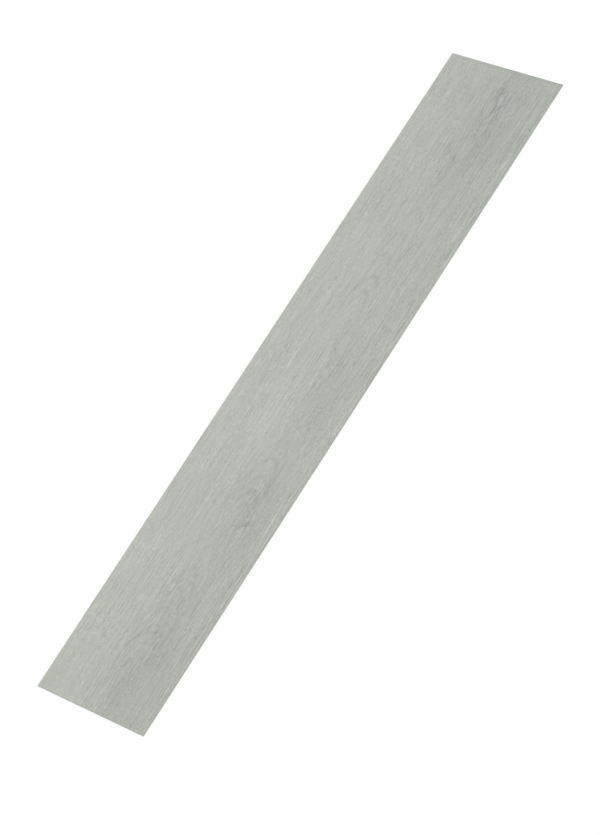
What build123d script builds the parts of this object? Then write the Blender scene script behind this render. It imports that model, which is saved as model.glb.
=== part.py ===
from build123d import *

import os

# A glue-down vinyl plank: one flat strip of flooring, cut square on all sides, that is glued
# to the floor by its whole back and butts against its neighbours on all four sides.
# It lies face up, its length along X, with the origin at the middle of its back.

# Overall size, in millimetres
plank_length = 1219.2
plank_width = 228.6
plank_thickness = 2.5

# Fine bevel round the face, which leaves a shallow groove at each joint between planks
bevel_width = 0.5
bevel_depth = 0.3

with BuildPart() as plank:
    # Square-cut blank, with its back on the floor
    with BuildSketch() as outline:
        Rectangle(plank_length, plank_width)
    extrude(amount=plank_thickness)

    # The bevel is wider than it is deep: its width is taken from the face, its depth from the sides
    face = plank.faces().sort_by(Axis.Z)[-1]
    chamfer(face.edges(), length=bevel_width, length2=bevel_depth, reference=face)

plank.part.label = "plank"

os.makedirs("parts", exist_ok=True)
export_step(plank.part, "parts/plank.step")
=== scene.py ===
import itertools
import math

import bpy
import numpy as np
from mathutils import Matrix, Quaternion, Vector


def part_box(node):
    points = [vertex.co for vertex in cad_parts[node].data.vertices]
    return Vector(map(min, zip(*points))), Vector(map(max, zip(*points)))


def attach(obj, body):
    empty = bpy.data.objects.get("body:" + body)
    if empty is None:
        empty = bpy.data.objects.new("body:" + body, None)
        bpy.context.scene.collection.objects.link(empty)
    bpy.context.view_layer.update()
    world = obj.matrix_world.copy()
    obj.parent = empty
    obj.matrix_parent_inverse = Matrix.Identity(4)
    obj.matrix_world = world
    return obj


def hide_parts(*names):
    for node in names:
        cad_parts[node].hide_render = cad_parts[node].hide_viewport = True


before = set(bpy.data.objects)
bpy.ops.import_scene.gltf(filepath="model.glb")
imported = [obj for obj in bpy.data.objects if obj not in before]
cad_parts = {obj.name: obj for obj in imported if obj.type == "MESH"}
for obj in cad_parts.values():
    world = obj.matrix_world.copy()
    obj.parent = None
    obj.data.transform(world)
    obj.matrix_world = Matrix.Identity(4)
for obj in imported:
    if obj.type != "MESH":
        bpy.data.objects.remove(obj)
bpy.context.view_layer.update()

# The scene is a glue-down vinyl plank, face up on a white floor. Everything is in metres, in the plank's
# frame. "Along" is the distance from the near end, and "across" the distance from the left edge, as the
# camera sees them.
MM = 0.001
low, high = (Vector(corner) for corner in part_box("plank"))
LENGTH = high.x - low.x
WIDTH = high.y - low.y
BEVEL_WIDTH = 0.5 * MM
BEVEL_DEPTH = 0.3 * MM

# Fine cells of the face, and how many of them meet one coarse cell of the back
CELLS_ALONG = 216
CELLS_ACROSS = 414
FINE_PER_COARSE_ALONG = 9
FINE_PER_COARSE_ACROSS = 23

# Where each set of faces lies on the square that the plank's colours are baked to: the axes that run
# along and up the square, and where the set starts and ends up it. The face takes the most room.
BAKE_MARGIN = 0.005
BAKE_STRIPS = {
    "face": (0, 1, 0.30, 0.99),
    "back": (0, 1, 0.08, 0.28),
    "right": (0, 2, 0.005, 0.015),
    "far": (1, 2, 0.022, 0.032),
    "left": (0, 2, 0.039, 0.049),
    "near": (1, 2, 0.056, 0.066),
}

# Embossed grain: long shallow grooves
GROOVE_LENGTH = 22 * MM
GROOVE_WIDTH = 0.9 * MM
GROOVE_DEPTH = 0.09 * MM
EMBOSS_MARGIN = 1.2 * MM
EMBOSS_SEED = 11

# How far above its mean the grooves' noise is, in spreads, where a groove starts and where it is deepest
GROOVE_START = 0.2
GROOVE_FULL = 2.2

# Streaks of the printed grain: length and width in millimetres, and strength in levels. The short and
# the long ones together are its fine streaks.
SHORT_STREAKS = (
    (4, 1.5, 26),
    (9, 1.5, 22),
    (20, 1.5, 19),
)
LONG_STREAKS = (
    (45, 1.5, 21),
    (100, 1.6, 22),
    (230, 1.8, 16),
)
BROAD_STREAKS = (
    (260, 11, 6),
    (120, 55, 5),
)

# Detail and roughness of the streaks' noise
STREAK_DETAIL = (1, 0.5)

# How much weaker the light fine streaks are, and how much stronger the dark ones
DARK_LEAN = 0.14

# Noise that shapes the rest of the print: length and width in millimetres, detail, roughness, and a shift
# in metres that sets it apart from the others. A cut is the stretch of its values that is eased over.
CLUSTER_NOISE = (80, 14, 2, 0.5, (6.1, 2.7))
CLUSTER_CUT = (0.35, 0.65)
PORE_NOISE = (9, 0.55, 1, 0.5, (4.3, 2.2))
PORE_CUT = (0.58, 0.76)
RING_WANDER_NOISE = (40, 9, 2, 0.5, (7.7, 4.1))
RING_FADE_NOISE = (30, 4, 2, 0.5, (9.1, 5.3))
RING_FADE_CUT = (0.3, 0.6)
STROKE_ALONG_NOISE = (12, 1.6, 2, 0.6, (5.7, 6.4))
STROKE_ACROSS_NOISE = (7, 2.2, 3, 0.65, (3.3, 8.2))
STROKE_FADE_NOISE = (12, 1.6, 2, 0.6, (8.8, 1.9))
STROKE_FADE_CUT = (0.32, 0.62)

# Strength of the fine streaks between their clusters and in them
CLUSTER_STRENGTH = (0.7, 1.3)

# Long streaks are stronger by the right edge: how far from it that starts and is in full, and by how much
EDGE_LINES_START = 28 * MM
EDGE_LINES_FULL = 8 * MM
EDGE_LINES_ADDED = 0.6

# Pores are dark
PORE_LEVELS = -11

# Arches of the growth rings: tip along and across, how far the limbs run along for each step across,
# bluntness of the tip, how far the limbs show along, half width, all in millimetres, and levels.
# An arch points to the far end, or to the near end where its slope is negative.
ARCHES = (
    # The near arch
    (98, 131, 4.0, 12, 60, 2.6, -6),
    (130, 131, 4.0, 16, 60, 2.6, -5),
    (160, 131, 4.0, 24, 60, 2.8, -5),
    (195, 132, 4.0, 22, 90, 2.6, -5),
    (229, 133, 4.2, 24, 90, 2.6, -5),
    (266, 134, 4.2, 26, 90, 2.6, -5),
    # Past the small knot
    (392, 153, 2.0, 8, 26, 2.8, -8),
    (416, 151, 2.1, 10, 40, 3.2, -9),
    (443, 150, 2.1, 12, 50, 2.8, -5),
    (475, 149, 2.2, 12, 80, 3.4, -7),
    (510, 147, 2.6, 14, 80, 2.8, -4),
    # The middle cathedral
    (755, 121, 2.4, 5, 30, 2.6, -4),
    (784, 120, 2.4, 5, 40, 3.6, -9),
    (811, 119, 2.2, 12, 40, 3.6, -8),
    (855, 116, 2.4, 14, 40, 3.4, -6),
    (896, 118, 3.8, 15, 70, 2.8, -4),
    (943, 121, 3.8, 16, 80, 2.8, -5),
    # Before the far knot
    (1090, 130, 1.4, 14, 30, 2.4, -6),
    (1039, 128, -1.6, 14, 30, 2.4, -6),
    (1110, 135, -2.6, 8, 60, 2.2, -5),
)

# How far the rings wander along, their strength where they fade and elsewhere, and the share of a limb's
# reach that shows in full
RING_WANDER = 6 * MM
RING_FADE = (0.7, 1.1)
RING_FULL_SHARE = 0.3

# Where the grain bows round a knot: along, across, reach along, reach across, push, all in millimetres
BOWS = (
    (354, 172, 70, 26, 9),
    (1160, 137, 60, 24, 8),
    (1061, 128, 45, 26, 6),
    (150, 132, 90, 34, 5),
)

# Broad lighter and darker patches of the print: along, across, half length, half width, all in
# millimetres, levels, and how green they are
PATCHES = (
    (30, 190, 130, 60, -6, 0.0),
    (60, 105, 60, 30, -1.5, 0.0),
    (120, 150, 190, 40, -3.2, 0.8),
    (180, 182, 45, 18, 2.2, 0.0),
    (300, 180, 110, 30, -3, 0.5),
    (400, 178, 70, 34, -3, 0.6),
    (540, 104, 70, 32, 3.5, 0.0),
    (560, 40, 260, 60, 2.2, -0.2),
    (590, 172, 80, 30, -2.5, 0.0),
    (655, 92, 60, 20, 2, 0.0),
    (700, 150, 80, 18, -1.5, 0.0),
    (775, 114, 60, 26, 2.5, 0.0),
    (775, 210, 60, 14, 2, 0.0),
    (880, 58, 55, 20, 1.6, 0.0),
    (1010, 22, 60, 22, 2.4, 0.0),
    (1010, 120, 45, 20, -4, 0.2),
    (1120, 162, 150, 55, -6, 0.9),
    (1150, 88, 60, 18, -1.6, 0.0),
    (1180, 132, 70, 26, -1.5, 0.2),
    (1170, 215, 70, 18, 3, 0.0),
)

# Where the fine streaks are weaker or stronger: along, across, half length, half width, all in
# millimetres, and the share that is added to them
FINE_PATCHES = (
    (30, 30, 50, 45, -0.4),
    (560, 12, 260, 16, -0.25),
    (350, 85, 45, 20, -0.4),
    (460, 140, 70, 18, -0.3),
    (785, 100, 105, 36, -0.4),
    (1000, 138, 110, 18, -0.25),
    (1064, 131, 24, 12, -0.4),
    (670, 125, 45, 22, 0.4),
    (280, 216, 50, 12, 0.5),
    (430, 216, 60, 10, 0.3),
    (930, 216, 45, 10, 0.35),
    (1170, 170, 50, 18, 0.4),
)

# Slope of the tone between the plank's edges: lighter by the left edge, and darker by the right edge and
# towards the far end
LEFT_EDGE_LEVELS = 2.6
RIGHT_EDGE_LEVELS = -2.5
FAR_END_LEVELS = -4.0

# The print is darker on the bevel and just inside it
EDGE_SHADE_WIDTH = 1.6 * MM
EDGE_SHADE_FULL = 0.3 * EDGE_SHADE_WIDTH
EDGE_SHADE_LEVELS = -11

# Strokes of the figure, darker or lighter than the ground: from along and across, to along and across,
# half width, all in millimetres, and levels
STROKES = (
    # The small knot
    (350, 150, 353, 159, 2.0, -24),
    (346, 162, 352, 163, 2.0, -12),
    (354, 166, 364, 177, 4.2, -32),
    (356, 170, 362, 180, 2.6, -18),
    (361, 169, 368, 177, 2.0, -18),
    # The near arch
    (0, 101, 77, 102, 1.5, -9),
    (77, 102, 109, 105, 1.8, -10),
    (107, 105, 123, 106, 3.0, -13),
    (121, 105, 143, 120, 5.0, -10),
    (142, 120, 154, 143, 5.0, -9),
    (153, 149, 146, 155, 3.6, -9),
    (147, 154, 118, 155, 3.4, -11),
    (118, 155, 95, 159, 2.4, -11),
    (51, 119, 63, 122, 4.5, -8),
    (77, 121, 91, 124, 3.8, -9),
    (61, 139, 81, 139, 3.0, -8),
    (163, 119, 176, 123, 3.0, -9),
    (215, 101, 226, 103, 2.6, -8),
    (228, 122, 246, 128, 3.0, -9),
    (261, 134, 286, 136, 2.2, -12),
    (297, 132, 310, 133, 2.4, -9),
    (86, 185, 176, 168, 1.6, -8),
    (176, 168, 264, 159, 1.6, -8),
    (153, 187, 253, 173, 1.6, -7),
    # Past the small knot
    (403, 184, 457, 159, 2.2, -9),
    # The middle cathedral
    (637, 143, 677, 141, 1.9, -13),
    (690, 127, 717, 135, 1.9, -9),
    (703, 147, 723, 147, 1.9, -9),
    (627, 153, 645, 152, 2.6, -9),
    (669, 129, 681, 131, 2.8, -12),
    (691, 78, 707, 86, 1.6, -9),
    (697, 84, 719, 93, 1.6, -8),
    (731, 97, 771, 96, 1.9, -14),
    (767, 96, 803, 101, 2.0, -15),
    (799, 101, 846, 104, 2.0, -15),
    (844, 104, 927, 109, 1.8, -13),
    # Before the far knot
    (923, 147, 1001, 138, 1.8, -12),
    (988, 122, 1011, 129, 3.0, -12),
    (1031, 127, 1055, 121, 3.0, -14),
    (1047, 117, 1080, 114, 2.5, -7),
    (1050, 147, 1082, 148, 2.5, -5),
    (1048, 132, 1080, 132, 9.0, 4),
    # The far knot
    (1134, 137, 1144, 138, 2.6, -34),
    (1143, 138, 1155, 137, 2.4, -26),
    (1153, 137, 1167, 131, 2.8, -24),
    (1163, 131, 1192, 129, 8.0, -22),
    (1153, 124, 1168, 127, 1.5, -16),
    (1141, 142, 1158, 150, 2.8, -30),
    (1160, 153, 1180, 153, 1.5, -17),
    (1160, 150, 1181, 149, 1.2, 8),
    (1126, 155, 1139, 148, 1.5, -22),
    (1090, 162, 1108, 156, 1.5, -22),
    (1089, 151, 1106, 148, 1.4, -12),
    (1192, 135, 1204, 130, 1.8, -15),
    (1164, 168, 1179, 166, 1.6, -14),
    (1158, 139, 1171, 140, 3.2, 9),
    # Long thin streaks of the open grain
    (63, 27, 207, 27, 1.3, -9),
    (127, 61, 243, 61, 1.3, -9),
    (153, 70, 243, 70, 1.3, -9),
    (441, 174, 474, 174, 1.4, -10),
    (526, 173, 553, 173, 1.4, -10),
    (578, 187, 635, 187, 1.4, -9),
    (578, 141, 607, 141, 1.4, -10),
    (691, 191, 772, 191, 1.4, -9),
    (856, 184, 873, 184, 1.4, -9),
    (1131, 95, 1175, 95, 1.4, -10),
)

# How ragged the strokes are along and across, their strength in their gaps and elsewhere, and where their
# edge starts and ends as a share of the half width
STROKE_RAGGED_ALONG = 8 * MM
STROKE_RAGGED_ACROSS = 3.5 * MM
STROKE_FADE = (0.35, 1.15)
STROKE_EDGE = (0.1, 1.25)

# Print colours by level, as they are seen: level, red, green and blue from 0 to 255
SHADES = (
    (110, 102, 111, 107),
    (140, 134, 141, 135),
    (165, 161, 165, 158),
    (183, 179.6, 183, 176),
    (205, 203.5, 205, 198),
)
MIDDLE_LEVEL = 183.6
GREEN_TINT = (0.968, 1.0, 0.995)
WARM_TINT = (1.0, 1.0, 0.975)

# The print is warm up to the first of these places along, and no longer past the second
WARM_FULL = 0.15 * LENGTH
WARM_END = 0.65 * LENGTH

# Coat: the fine streaks' levels that it follows, its roughness on dark and on light grain, and its bump
COAT_LEVELS = 12
COAT_ROUGHNESS = (0.62, 0.5)
BUMP_STRENGTH = 0.5
BUMP_HEIGHT = 0.12 * MM
PORE_BUMP_SHARE = 0.6

# Filled vinyl of the sides and back: its darker and lighter speckle as seen, and the roughness of each
BODY_COLOURS = ((156, 158, 151), (174, 176, 169))
BODY_ROUGHNESS = (0.75, 0.6)
SPECKLE_SCALE = 900
SPECKLE_DETAIL = 3
SPECKLE_CUT = (0.3, 0.7)

# Camera, as the photograph was taken
AIM = Vector((-0.0578, -0.0340, 0.0025))
VIEW_DISTANCE = 5.577
VIEW_AZIMUTH = math.radians(-111.576)
VIEW_ELEVATION = math.radians(47.438)
VIEW_ROLL = math.radians(-40.79)
LENS = 157.13

# Light: a white dome and one soft key lamp from the camera's side
DOME_STRENGTH = 0.62
KEY_LIGHT = 0.352
KEY_AZIMUTH = math.radians(-118)
KEY_ELEVATION = math.radians(48)
KEY_SOFTNESS = math.radians(35)
WHITE = (1, 1, 1, 1)

# Floor, just below the plank's back. The lift is the light that it adds where it is seen.
FLOOR_HALF = 6.0
FLOOR_GAP = 0.05 * MM
FLOOR_COLOUR = (0.9, 0.9, 0.9, 1)
FLOOR_LIFT = 0.14


def smoothstep(start, end, value):
    """Eases from 0 to 1 while the value goes from start to end."""
    share = np.clip((value - start) / (end - start), 0, 1)
    return share * share * (3 - 2 * share)


def edge_distance(along, across):
    """Distance from the plank's nearest edge."""
    return np.minimum.reduce([along, LENGTH - along, across, WIDTH - across])


def bell(along, across, place_along, place_across, half_length, half_width):
    """1 at a place in millimetres, easing to 0 around it."""
    u = (along / MM - place_along) / half_length
    v = (across / MM - place_across) / half_width
    return np.exp(-u * u - v * v)


def bowed(along, across):
    """Across distance of the grain line through each place, where lines bow out round the knots."""
    shift = np.zeros_like(across)
    for place_along, place_across, reach_along, reach_across, push in BOWS:
        side = (across / MM - place_across) / reach_across
        near = bell(along, across, place_along, place_across, reach_along, reach_across)
        shift += push * MM * side * near
    return across - shift


def tone_patches(along, across):
    """Broad tone in levels, and how green it is, from the patches and the slope between the edges."""
    side = across / WIDTH
    tone = LEFT_EDGE_LEVELS * (1 - side) ** 2 + RIGHT_EDGE_LEVELS * side**2
    tone += FAR_END_LEVELS * (along / LENGTH - 0.5)
    green = np.zeros_like(across)
    for *patch, levels, greenness in PATCHES:
        share = bell(along, across, *patch)
        tone += levels * share
        green += greenness * share
    return tone, np.clip(green, 0, 1)


def fine_strength(along, across):
    """Strength of the fine streaks, 1 away from their patches."""
    strength = np.ones_like(across)
    for *patch, share in FINE_PATCHES:
        strength += share * bell(along, across, *patch)
    return strength


def face_grid():
    """Distances along and across for each corner of the face's cells, inside the bevel."""
    along = np.linspace(BEVEL_WIDTH, LENGTH - BEVEL_WIDTH, CELLS_ALONG + 1)
    across = np.linspace(BEVEL_WIDTH, WIDTH - BEVEL_WIDTH, CELLS_ACROSS + 1)
    return np.meshgrid(along, across, indexing="ij")


def groove_depth(along, across):
    """Depth of the embossed grooves: noise drawn out along the grain, of which only the peaks cut in."""
    white = np.random.default_rng(EMBOSS_SEED).standard_normal(along.shape)
    waves_along = np.fft.fftfreq(along.shape[0], LENGTH / CELLS_ALONG)[:, None]
    waves_across = np.fft.fftfreq(along.shape[1], WIDTH / CELLS_ACROSS)[None, :]
    fineness = (waves_along * GROOVE_LENGTH) ** 2 + (waves_across * GROOVE_WIDTH) ** 2
    streaks = np.fft.ifft2(np.fft.fft2(white) * np.exp(-2 * fineness)).real
    grooves = smoothstep(GROOVE_START, GROOVE_FULL, streaks / streaks.std())
    return GROOVE_DEPTH * grooves * smoothstep(BEVEL_WIDTH, EMBOSS_MARGIN, edge_distance(along, across))


class MeshParts:
    """Vertices and faces of a mesh in the making, and the bake strip that each face belongs to."""

    def __init__(self):
        self.places = []
        self.faces = []
        self.strips = []

    def points(self, places):
        """Adds vertices and returns their numbers."""
        first = len(self.places)
        self.places.extend(map(tuple, places))
        return np.arange(first, len(self.places))

    def grid(self, places):
        """Adds a grid of vertices and returns their numbers as a grid."""
        return self.points(places.reshape(-1, 3)).reshape(places.shape[:2])

    def face(self, corners, strip):
        self.faces.append([int(corner) for corner in corners])
        self.strips.append(strip)


def level_grid(x_line, y_line, z):
    """A flat grid of places at one height."""
    x, y = np.meshgrid(x_line, y_line, indexing="ij")
    return np.stack([x, y, np.full_like(x, z)], -1)


def rim(grid):
    """The outermost entries of a grid, once round: right edge, far end, left edge, near end."""
    return np.concatenate([grid[:-1, -1], grid[-1, :0:-1], grid[:0:-1, 0], grid[0, :-1]])


def plank_mesh():
    """A closed mesh: embossed face, bevel, square-cut sides and a flat back in coarser cells."""
    parts = MeshParts()

    # Face, inside the bevel. Its cells are the first faces of the mesh.
    along, across = face_grid()
    top = np.stack([low.x + along, high.y - across, high.z - groove_depth(along, across)], -1)
    face = parts.grid(top)
    for i in range(CELLS_ALONG):
        for j in range(CELLS_ACROSS):
            parts.face((face[i, j], face[i, j + 1], face[i + 1, j + 1], face[i + 1, j]), "face")

    # Bevel, from the face's rim down to the plank's outline
    outline_x = np.linspace(low.x, high.x, CELLS_ALONG + 1)
    outline_y = np.linspace(high.y, low.y, CELLS_ACROSS + 1)
    inner = rim(face)
    outer = parts.points(rim(level_grid(outline_x, outline_y, high.z - BEVEL_DEPTH)))
    count = len(outer)
    for k in range(count):
        after = (k + 1) % count
        parts.face((inner[k], outer[k], outer[after], inner[after]), "face")

    # Back, in coarse cells
    coarse_x = outline_x[::FINE_PER_COARSE_ALONG]
    coarse_y = outline_y[::FINE_PER_COARSE_ACROSS]
    back = parts.grid(level_grid(coarse_x, coarse_y, low.z))
    coarse_along, coarse_across = back.shape[0] - 1, back.shape[1] - 1
    for i in range(coarse_along):
        for j in range(coarse_across):
            parts.face((back[i, j], back[i + 1, j], back[i + 1, j + 1], back[i, j + 1]), "back")

    # Sides, in the order of the rim: each coarse edge of the back fans up to its fine cells
    foot = rim(back)
    fans = []
    for side in ("right", "far", "left", "near"):
        if side in ("right", "left"):
            fans += [(side, FINE_PER_COARSE_ALONG)] * coarse_along
        else:
            fans += [(side, FINE_PER_COARSE_ACROSS)] * coarse_across
    first = 0
    for k, (side, size) in enumerate(fans):
        here, after = foot[k], foot[(k + 1) % len(foot)]
        middle = first + size // 2
        for step in range(first, first + size):
            corner = here if step < middle else after
            parts.face((outer[step], corner, outer[(step + 1) % count]), side)
        parts.face((outer[middle], here, after), side)
        first += size
    return parts


def bake_places(parts):
    """Place on the bake's square of each corner of each face."""
    share = (np.array(parts.places) - np.array(low)) / np.array(high - low)
    places = []
    for face, strip in zip(parts.faces, parts.strips):
        along_axis, up_axis, start, end = BAKE_STRIPS[strip]
        for corner in face:
            along = BAKE_MARGIN + (1 - 2 * BAKE_MARGIN) * share[corner, along_axis]
            places.append((along, start + (end - start) * share[corner, up_axis]))
    return np.array(places, np.float32)


def make_plank(materials):
    parts = plank_mesh()
    mesh = bpy.data.meshes.new("vinyl_plank")
    mesh.from_pydata(parts.places, [], parts.faces)
    printed = np.array(parts.strips) == "face"
    embossed = np.arange(len(printed)) < CELLS_ALONG * CELLS_ACROSS
    mesh.polygons.foreach_set("material_index", np.where(printed, 0, 1))
    mesh.polygons.foreach_set("use_smooth", embossed)
    for material in materials:
        mesh.materials.append(material)
    bake_map = mesh.uv_layers.new(name="OFBake")
    bake_map.uv.foreach_set("vector", bake_places(parts).ravel())

    # Smooth fields that the face's material draws its grain from
    place = np.array(parts.places)
    along = place[:, 0] - low.x
    across = high.y - place[:, 1]
    tone, green = tone_patches(along, across)
    fields = {
        "along": along,
        "across": across,
        "grain_across": bowed(along, across),
        "inset": edge_distance(along, across),
        "tone": tone,
        "green": green,
        "fine": fine_strength(along, across),
    }
    for name, values in fields.items():
        layer = mesh.attributes.new(name, "FLOAT", "POINT")
        layer.data.foreach_set("value", values.astype(np.float32))
    mesh.update()
    plank = bpy.data.objects.new("vinyl_plank", mesh)
    bpy.context.collection.objects.link(plank)
    return plank


class Nodes:
    """Adds nodes to a material or a world. A value that is a socket is linked, and any other is set."""

    def __init__(self, owner, shader="Principled BSDF"):
        owner.use_nodes = True
        self.tree = owner.node_tree
        self.shader = self.tree.nodes[shader]

    def add(self, kind, **settings):
        node = self.tree.nodes.new(kind)
        for name, value in settings.items():
            setattr(node, name, value)
        return node

    def feed(self, socket, value):
        if isinstance(value, bpy.types.NodeSocket):
            self.tree.links.new(value, socket)
        else:
            socket.default_value = value

    def field(self, name):
        """One of the plank's own fields."""
        return self.add("ShaderNodeAttribute", attribute_name=name).outputs["Fac"]

    def math(self, operation, *values):
        node = self.add("ShaderNodeMath", operation=operation)
        for socket, value in zip(node.inputs, values):
            self.feed(socket, value)
        return node.outputs[0]

    def total(self, values):
        result = values[0]
        for value in values[1:]:
            result = self.math("ADD", result, value)
        return result

    def vector(self, x, y, z=0.0):
        node = self.add("ShaderNodeCombineXYZ")
        for socket, value in zip(node.inputs, (x, y, z)):
            self.feed(socket, value)
        return node.outputs[0]

    def moved(self, vector, place, turn, size):
        """Coordinates in a frame at this place, turned, with these sizes as its units."""
        node = self.add("ShaderNodeMapping", vector_type="TEXTURE")
        self.feed(node.inputs["Vector"], vector)
        node.inputs["Location"].default_value = (*place, 0)
        node.inputs["Rotation"].default_value = (0, 0, turn)
        node.inputs["Scale"].default_value = (*size, 1)
        return node.outputs[0]

    def noise(self, vector, length, width, detail, roughness, shift):
        """Noise drawn out along the grain, about 0 to 1. Sizes are in millimetres, the shift in metres."""
        node = self.add("ShaderNodeTexNoise", noise_dimensions="2D")
        self.feed(node.inputs["Vector"], self.moved(vector, shift, 0, (length * MM, width * MM)))
        node.inputs["Scale"].default_value = 1.0
        node.inputs["Detail"].default_value = detail
        node.inputs["Roughness"].default_value = roughness
        return node.outputs["Fac"]

    def centred(self, noise, size):
        """Noise about 0.5, as values about 0 of this size."""
        return self.math("MULTIPLY", self.math("SUBTRACT", noise, 0.5), size)

    def layer(self, vector, number, length, width, levels):
        """One row of a streak table, in levels about 0. Each number gives other streaks."""
        shift = (0.3 + 1.7 * number, 0.1 + 0.9 * number)
        return self.centred(self.noise(vector, length, width, *STREAK_DETAIL, shift), levels)

    def span(self, value, start, end, to_start, to_end):
        """Eases from one value to another while the first goes from start to end."""
        node = self.add("ShaderNodeMapRange", interpolation_type="SMOOTHSTEP")
        for socket, number in zip(node.inputs, (value, start, end, to_start, to_end)):
            self.feed(socket, number)
        return node.outputs[0]

    def tinted(self, colour, tint, share):
        """A colour multiplied by a tint, as far as the share says."""
        node = self.add("ShaderNodeMix", data_type="RGBA", blend_type="MULTIPLY")
        self.feed(node.inputs["Factor"], share)
        self.feed(node.inputs["A"], colour)
        node.inputs["B"].default_value = (*tint, 1)
        return node.outputs["Result"]

    def seen(self):
        """1 for rays that see the surface, straight or in a reflection, and 0 for those it only lights."""
        path = self.add("ShaderNodeLightPath").outputs
        straight = self.math("MAXIMUM", path["Is Camera Ray"], path["Is Transmission Ray"])
        return self.math("MAXIMUM", straight, path["Is Glossy Ray"])


def linear(channel):
    """A seen channel from 0 to 255 as light from 0 to 1."""
    share = channel / 255
    return share / 12.92 if share <= 0.04045 else ((share + 0.055) / 1.055) ** 2.4


def streak_levels(nodes, grain, across):
    """Fine streaks, in clusters and with more long ones by the right edge, and broad streaks, in levels."""
    numbers = itertools.count()
    short, long, broad = (
        nodes.total([nodes.layer(grain, next(numbers), *row) for row in rows])
        for rows in (SHORT_STREAKS, LONG_STREAKS, BROAD_STREAKS)
    )
    cluster = nodes.span(nodes.noise(grain, *CLUSTER_NOISE), *CLUSTER_CUT, *CLUSTER_STRENGTH)
    by_edge = nodes.span(across, WIDTH - EDGE_LINES_START, WIDTH - EDGE_LINES_FULL, 0, EDGE_LINES_ADDED)
    short = nodes.math("MULTIPLY", short, cluster)
    long = nodes.math("MULTIPLY", long, nodes.math("ADD", cluster, by_edge))
    fine = nodes.math("MULTIPLY", nodes.math("ADD", short, long), nodes.field("fine"))
    lean = nodes.math("MULTIPLY", nodes.math("ABSOLUTE", fine), DARK_LEAN)
    return nodes.math("SUBTRACT", fine, lean), broad


def growth_rings(nodes, grain, along, across):
    """Soft arched lines, in levels, that wander a little and fade in places."""
    wander = nodes.centred(nodes.noise(grain, *RING_WANDER_NOISE), RING_WANDER)
    fade = nodes.span(nodes.noise(grain, *RING_FADE_NOISE), *RING_FADE_CUT, *RING_FADE)
    lines = []
    for tip_along, tip_across, slope, blunt, reach, half_width, levels in ARCHES:
        off = nodes.math("SUBTRACT", across, tip_across * MM)
        off_squared = nodes.math("MULTIPLY", off, off)
        spread = nodes.math("SQRT", nodes.math("ADD", off_squared, (blunt * MM) ** 2))
        limb = nodes.math("MULTIPLY", nodes.math("SUBTRACT", spread, blunt * MM), slope)
        past = nodes.total([nodes.math("SUBTRACT", along, tip_along * MM), limb, wander])

        # Measured square to the limb, so that the line is as wide there as at the tip
        steep = nodes.math("DIVIDE", nodes.math("MULTIPLY", off, slope), spread)
        stretch = nodes.math("SQRT", nodes.math("ADD", nodes.math("MULTIPLY", steep, steep), 1))
        away = nodes.math("DIVIDE", nodes.math("ABSOLUTE", past), stretch)
        line = nodes.span(away, 0, 2 * half_width * MM, levels, 0)
        shown = nodes.span(nodes.math("ABSOLUTE", limb), RING_FULL_SHARE * reach * MM, reach * MM, 1, 0)
        lines.append(nodes.math("MULTIPLY", line, shown))
    return nodes.math("MULTIPLY", nodes.total(lines), fade)


def figure_strokes(nodes, grain, along, across):
    """Knots and lines of the figure, in levels, ragged and broken along the grain."""
    ragged_along = nodes.centred(nodes.noise(grain, *STROKE_ALONG_NOISE), STROKE_RAGGED_ALONG)
    ragged_across = nodes.centred(nodes.noise(grain, *STROKE_ACROSS_NOISE), STROKE_RAGGED_ACROSS)
    place = nodes.vector(nodes.math("ADD", along, ragged_along), nodes.math("ADD", across, ragged_across))
    fade = nodes.span(nodes.noise(grain, *STROKE_FADE_NOISE), *STROKE_FADE_CUT, *STROKE_FADE)
    drawn = []
    for along_0, across_0, along_1, across_1, half_width, levels in STROKES:
        run, rise = along_1 - along_0, across_1 - across_0
        middle = ((along_0 + along_1) / 2 * MM, (across_0 + across_1) / 2 * MM)
        size = ((math.hypot(run, rise) / 2 + half_width) * MM, half_width * MM)
        reach = nodes.add("ShaderNodeVectorMath", operation="LENGTH")
        nodes.feed(reach.inputs[0], nodes.moved(place, middle, math.atan2(rise, run), size))
        drawn.append(nodes.span(reach.outputs["Value"], *STROKE_EDGE, levels, 0))
    return nodes.math("MULTIPLY", nodes.total(drawn), fade)


def print_colour(nodes, level, along):
    """Colour of the print by its level, greener in places and warmer towards the near end."""
    first, last = SHADES[0][0], SHADES[-1][0]
    share = nodes.add("ShaderNodeMapRange")
    for socket, number in zip(share.inputs, (level, first, last, 0, 1)):
        nodes.feed(socket, number)
    ramp = nodes.add("ShaderNodeValToRGB")
    stops = ramp.color_ramp.elements
    while len(stops) < len(SHADES):
        stops.new(0.5)
    for stop, (shade, *colour) in zip(stops, SHADES):
        stop.position = (shade - first) / (last - first)
        stop.color = (*map(linear, colour), 1)
    nodes.feed(ramp.inputs["Fac"], share.outputs[0])
    greener = nodes.tinted(ramp.outputs["Color"], GREEN_TINT, nodes.field("green"))
    warmth = nodes.span(along, WARM_FULL, WARM_END, 1, 0)
    return nodes.tinted(greener, WARM_TINT, warmth)


def add_coat(nodes, fine, pores):
    """Matt coat, duller in the dark grain, with the finest relief as bump."""
    roughness = nodes.span(fine, -COAT_LEVELS, COAT_LEVELS, *COAT_ROUGHNESS)
    nodes.feed(nodes.shader.inputs["Roughness"], roughness)
    raised = nodes.span(fine, -COAT_LEVELS, COAT_LEVELS, 0, 1)
    bump = nodes.add("ShaderNodeBump")
    bump.inputs["Strength"].default_value = BUMP_STRENGTH
    bump.inputs["Distance"].default_value = BUMP_HEIGHT
    sunk = nodes.math("MULTIPLY", pores, PORE_BUMP_SHARE)
    nodes.feed(bump.inputs["Height"], nodes.math("SUBTRACT", raised, sunk))
    nodes.feed(nodes.shader.inputs["Normal"], bump.outputs["Normal"])


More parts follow.
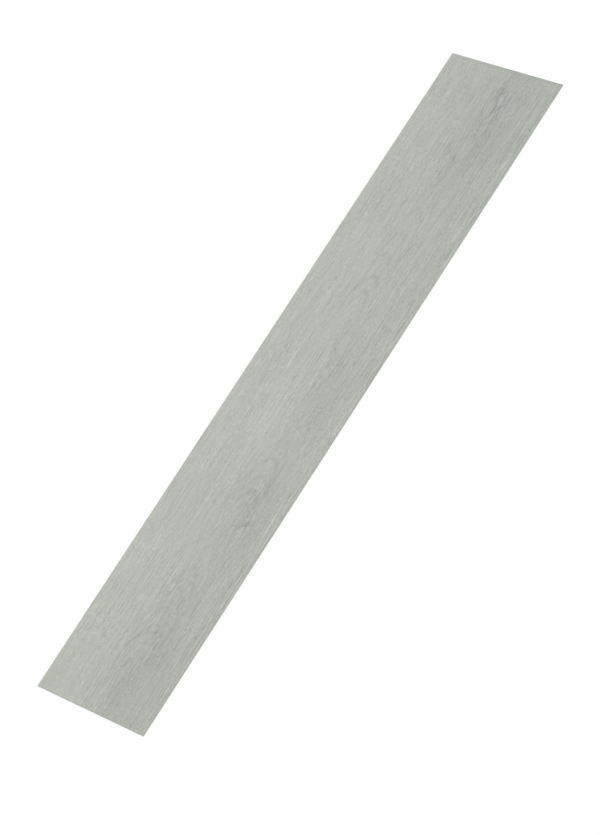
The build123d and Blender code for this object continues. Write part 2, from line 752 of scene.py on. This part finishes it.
def print_material():
    """The printed oak grain under its clear coat."""
    material = bpy.data.materials.new("oak_print")
    nodes = Nodes(material)
    along = nodes.field("along")
    across = nodes.field("across")
    grain = nodes.vector(along, nodes.field("grain_across"))
    fine, broad = streak_levels(nodes, grain, across)
    pores = nodes.span(nodes.noise(grain, *PORE_NOISE), *PORE_CUT, 0, 1)
    levels = [
        nodes.field("tone"),
        nodes.span(nodes.field("inset"), EDGE_SHADE_FULL, EDGE_SHADE_WIDTH, EDGE_SHADE_LEVELS, 0),
        fine,
        broad,
        nodes.math("MULTIPLY", pores, PORE_LEVELS),
        growth_rings(nodes, grain, along, across),
        figure_strokes(nodes, grain, along, across),
        MIDDLE_LEVEL,
    ]
    nodes.feed(nodes.shader.inputs["Base Color"], print_colour(nodes, nodes.total(levels), along))
    add_coat(nodes, fine, pores)
    return material


def body_material():
    """Cut sides and back: filled vinyl, with a fine speckle."""
    material = bpy.data.materials.new("vinyl_body")
    nodes = Nodes(material)
    speckle = nodes.add("ShaderNodeTexNoise")
    nodes.feed(speckle.inputs["Vector"], nodes.add("ShaderNodeTexCoord").outputs["Object"])
    speckle.inputs["Scale"].default_value = SPECKLE_SCALE
    speckle.inputs["Detail"].default_value = SPECKLE_DETAIL
    ramp = nodes.add("ShaderNodeValToRGB")
    for stop, position, colour in zip(ramp.color_ramp.elements, SPECKLE_CUT, BODY_COLOURS):
        stop.position = position
        stop.color = (*map(linear, colour), 1)
    nodes.feed(ramp.inputs["Fac"], speckle.outputs["Fac"])
    nodes.feed(nodes.shader.inputs["Base Color"], ramp.outputs["Color"])
    roughness = nodes.span(speckle.outputs["Fac"], *SPECKLE_CUT, *BODY_ROUGHNESS)
    nodes.feed(nodes.shader.inputs["Roughness"], roughness)
    return material


def floor_material():
    """White floor that keeps shadows, lifted a little where it is seen, so that it is plain white."""
    material = bpy.data.materials.new("white_floor")
    nodes = Nodes(material)
    nodes.shader.inputs["Base Color"].default_value = FLOOR_COLOUR
    nodes.shader.inputs["Roughness"].default_value = 1.0
    nodes.shader.inputs["Specular IOR Level"].default_value = 0.0
    nodes.shader.inputs["Emission Color"].default_value = WHITE
    nodes.feed(nodes.shader.inputs["Emission Strength"], nodes.math("MULTIPLY", nodes.seen(), FLOOR_LIFT))
    return material


def make_floor():
    mesh = bpy.data.meshes.new("floor")
    half = FLOOR_HALF
    level = low.z - FLOOR_GAP
    corners = [(-half, -half, level), (half, -half, level), (half, half, level), (-half, half, level)]
    mesh.from_pydata(corners, [], [(0, 1, 2, 3)])
    mesh.materials.append(floor_material())
    floor = bpy.data.objects.new("floor", mesh)
    bpy.context.collection.objects.link(floor)


def direction(azimuth, elevation):
    """The way towards a place in the sky."""
    flat = math.cos(elevation)
    return Vector((flat * math.cos(azimuth), flat * math.sin(azimuth), math.sin(elevation)))


def make_dome():
    """World that lights at the dome's strength, and is plain white where it is seen."""
    world = bpy.data.worlds.new("dome")
    nodes = Nodes(world, "Background")
    nodes.shader.inputs["Color"].default_value = WHITE
    strength = nodes.math("MULTIPLY_ADD", nodes.seen(), 1 - DOME_STRENGTH, DOME_STRENGTH)
    nodes.feed(nodes.shader.inputs["Strength"], strength)
    bpy.context.scene.world = world


def make_key():
    """Soft key lamp, which alone would light a level white surface to about KEY_LIGHT."""
    lamp = bpy.data.lights.new("key", "SUN")
    lamp.angle = KEY_SOFTNESS
    lamp.energy = KEY_LIGHT * math.pi / math.sin(KEY_ELEVATION)
    key = bpy.data.objects.new("key", lamp)
    key.rotation_euler = direction(KEY_AZIMUTH, KEY_ELEVATION).to_track_quat("Z", "Y").to_euler()
    bpy.context.collection.objects.link(key)


def make_camera():
    data = bpy.data.cameras.new("camera")
    data.lens = LENS
    camera = bpy.data.objects.new("camera", data)
    away = direction(VIEW_AZIMUTH, VIEW_ELEVATION)
    camera.location = AIM + away * VIEW_DISTANCE
    level = (-away).to_track_quat("-Z", "Y")
    camera.rotation_euler = (level @ Quaternion((0, 0, 1), VIEW_ROLL)).to_euler()
    bpy.context.collection.objects.link(camera)
    bpy.context.scene.camera = camera


bpy.context.scene.view_settings.view_transform = "Standard"
plank = make_plank([print_material(), body_material()])
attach(plank, "root")
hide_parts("plank")
make_floor()
make_dome()
make_key()
make_camera()
